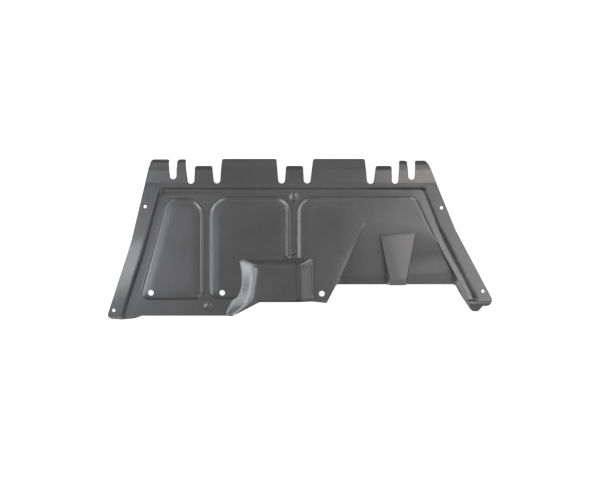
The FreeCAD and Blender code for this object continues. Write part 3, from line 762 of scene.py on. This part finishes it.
class Graph:
    def __init__(self, name):
        self.material = bpy.data.materials.new(name)
        self.material.use_nodes = True
        self.tree = self.material.node_tree
        self.shader = next(n for n in self.tree.nodes if n.type == "BSDF_PRINCIPLED")

    # Add any node: its type, its settings, and the values or links of its sockets.
    def add(self, kind, settings=None, inputs=None, output=0):
        node = self.tree.nodes.new(kind)
        for key, value in (settings or {}).items():
            if key == "stops":
                ramp = node.color_ramp
                while len(ramp.elements) < len(value):
                    ramp.elements.new(0.5)
                for element, (place, colour) in zip(ramp.elements, value):
                    element.position = place
                    element.color = (*colour, 1.0)
            else:
                setattr(node, key, value)
        for key, value in (inputs or {}).items():
            self.feed(node.inputs[key], value)
        return Value(self, node.outputs[output])

    # A value or a link for one socket.
    def feed(self, socket, value):
        if isinstance(value, Value):
            self.tree.links.new(value.socket, socket)
        else:
            socket.default_value = value

    # Values or links for the material's own Principled shader.
    def shade(self, inputs):
        for key, value in inputs.items():
            self.feed(self.shader.inputs[key], value)

    # A second Principled shader laid over the first by a varying share.
    def cover(self, inputs, share):
        over = self.add("ShaderNodeBsdfPrincipled", None, inputs)
        first = Value(self, self.shader.outputs[0])
        mixed = self.add("ShaderNodeMixShader", None, {0: share, 1: first, 2: over})
        output = next(n for n in self.tree.nodes if n.type == "OUTPUT_MATERIAL")
        self.feed(output.inputs["Surface"], mixed)


# Black moulded polypropylene: fine grain, faint flow marks and a little dust. Colours and
# roughness follow the noise around their middle values.
plastic = {
    "dark": (0.019, 0.019, 0.019),
    "pale": (0.032, 0.032, 0.033),
    "darkStop": 0.32,
    "paleStop": 0.68,
    "specular": 0.62,
    "grainScale": 900.0,
    "speckScale": 260.0,
    "flowScale": 7.0,
    "flowShare": 0.55,         # flow marks in the colour, the specks taking the rest
    "speckShare": 0.45,
    "roughness": 0.33,
    "roughnessSwing": 0.14,
    # Finish where shade is painted: dark, rough and nearly without sheen.
    "dull": (0.020, 0.020, 0.021),
    "paintedShadeRoughness": 0.80,
    "paintedShadeSpecular": 0.12,
    "grainDepth": 0.25,
    "grainHeight": 0.0004,
    "speckHeight": 0.8,
}


def noise(graph, place, scale, detail, roughness):
    return graph.add("ShaderNodeTexNoise", None,
                     {"Vector": place, "Scale": scale, "Detail": detail, "Roughness": roughness})


def blackPlastic():
    graph = Graph("black_plastic")
    place = graph.add("ShaderNodeTexCoord", output=3)
    grain = noise(graph, place, plastic["grainScale"], 2.0, 0.6)
    flow = noise(graph, place, plastic["flowScale"], 4.0, 0.55)
    speck = noise(graph, place, plastic["speckScale"], 3.0, 0.7)
    # Share of painted shade at each point.
    dull = graph.add("ShaderNodeAttribute", {"attribute_name": "dull"}, output=2)
    stops = [(plastic["darkStop"], plastic["dark"]), (plastic["paleStop"], plastic["pale"])]
    colour = graph.add("ShaderNodeValToRGB", {"stops": stops},
                       {0: plastic["flowShare"] * flow + plastic["speckShare"] * speck})
    bump = graph.add("ShaderNodeBump", None,
                     {"Strength": plastic["grainDepth"], "Distance": plastic["grainHeight"],
                      "Height": grain + plastic["speckHeight"] * speck})
    graph.shade({
        "Base Color": colour,
        "Roughness": plastic["roughness"] + plastic["roughnessSwing"] * (speck + flow - 1.0),
        "Specular IOR Level": plastic["specular"],
        "Normal": bump,
    })
    # Painted shade: the dark rough finish is mixed over the plastic by the painted-shade share.
    graph.cover({
        "Base Color": (*plastic["dull"], 1.0),
        "Roughness": plastic["paintedShadeRoughness"],
        "Specular IOR Level": plastic["paintedShadeSpecular"],
    }, dull)
    return graph.material


# Camera straight above, pale glowing floor and white sky
studio = {
    "distance": 2.040,          # camera above the sheet's upper face
    "lens": 49.85,
    "sensor": 36.0,
    "floorSize": 14.0,
    "floorColour": (0.15, 0.15, 0.15),
    "floorRoughness": 0.9,
    "floorSpecular": 0.1,
    "floorGlow": 0.94,
    "sky": 0.38,
}

# Softboxes: place, point they face, width and height in metres, power, colour
softboxes = {
    "left_low": ((-1.42, 0.10, 0.66), (-0.1, 0.0, 0.0), (1.60, 0.56), 31.0, (0.97, 0.985, 1.0)),
    "left_tall": ((-1.17, -0.07, 1.72), (-0.40, -0.02, 0.05), (0.18, 0.38), 11.0, (0.93, 0.96, 1.0)),
    "right_low": ((1.50, 0.0, 0.76), (0.1, 0.0, 0.0), (1.80, 0.44), 5.5, (1.0, 0.99, 0.985)),
    "right_tall": ((1.16, 0.03, 1.75), (0.40, 0.0, 0.05), (1.00, 0.86), 26.0, (1.0, 0.968, 0.958)),
    "front_right": ((1.00, 1.35, 0.70), (0.30, 0.15, 0.0), (0.95, 1.10), 34.0, (1.0, 0.955, 0.94)),
    "front_high": ((0.30, 0.80, 1.52), (0.2, 0.1, 0.0), (1.30, 0.30), 1.8, (1.0, 0.985, 0.975)),
    "front_left": ((-1.05, 1.40, 0.75), (-0.33, 0.15, 0.0), (0.60, 0.60), 11.0, (0.94, 0.97, 1.0)),
    "rear_high": ((0.30, -0.92, 1.55), (0.15, 0.0, 0.0), (1.70, 0.60), 3.5, (1.0, 0.99, 0.98)),
    "rear": ((0.82, -1.37, 0.94), (0.28, 0.0, 0.0), (0.95, 0.42), 6.0, (1.0, 0.99, 0.98)),
}


def makeCamera():
    data = bpy.data.cameras.new("camera")
    data.lens = studio["lens"]
    data.sensor_width = studio["sensor"]
    data.clip_end = 50.0
    camera = bpy.data.objects.new("camera", data)
    camera.location = (shiftX * millimetre, shiftY * millimetre, shiftZ * millimetre + studio["distance"])
    bpy.context.scene.collection.objects.link(camera)
    bpy.context.scene.camera = camera


def makeFloor():
    half = studio["floorSize"] / 2.0
    mesh = bpy.data.meshes.new("floor")
    mesh.from_pydata([(-half, -half, 0.0), (half, -half, 0.0), (half, half, 0.0), (-half, half, 0.0)],
                     [], [(0, 1, 2, 3)])
    floor = bpy.data.objects.new("floor", mesh)
    graph = Graph("pale_floor")
    graph.shade({
        "Base Color": (*studio["floorColour"], 1.0),
        "Roughness": studio["floorRoughness"],
        "Specular IOR Level": studio["floorSpecular"],
        "Emission Color": (1.0, 1.0, 1.0, 1.0),
        "Emission Strength": studio["floorGlow"],
    })
    mesh.materials.append(graph.material)
    bpy.context.scene.collection.objects.link(floor)


def makeSoftbox(name, place, target, size, power, colour):
    data = bpy.data.lights.new(name, "AREA")
    data.shape = "RECTANGLE"
    data.size, data.size_y = size
    data.energy = power
    data.color = colour
    light = bpy.data.objects.new(name, data)
    light.location = place
    light.rotation_euler = (Vector(target) - Vector(place)).to_track_quat("-Z", "Y").to_euler()
    bpy.context.scene.collection.objects.link(light)


def makeSky():
    world = bpy.data.worlds.new("studio")
    world.use_nodes = True
    background = next(n for n in world.node_tree.nodes if n.type == "BACKGROUND")
    background.inputs["Color"].default_value = (1.0, 1.0, 1.0, 1.0)
    background.inputs["Strength"].default_value = studio["sky"]
    bpy.context.scene.world = world
    bpy.context.scene.view_settings.view_transform = "Standard"


makeCamera()
print("camera placed")
sheetPiece = makeShield()
sheetPiece.data.materials.clear()
sheetPiece.data.materials.append(blackPlastic())
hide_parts(shieldNode)
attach(sheetPiece, "root")
print("shield made")
makeFloor()
makeSky()
for name, values in softboxes.items():
    makeSoftbox(name, *values)
print("studio made")
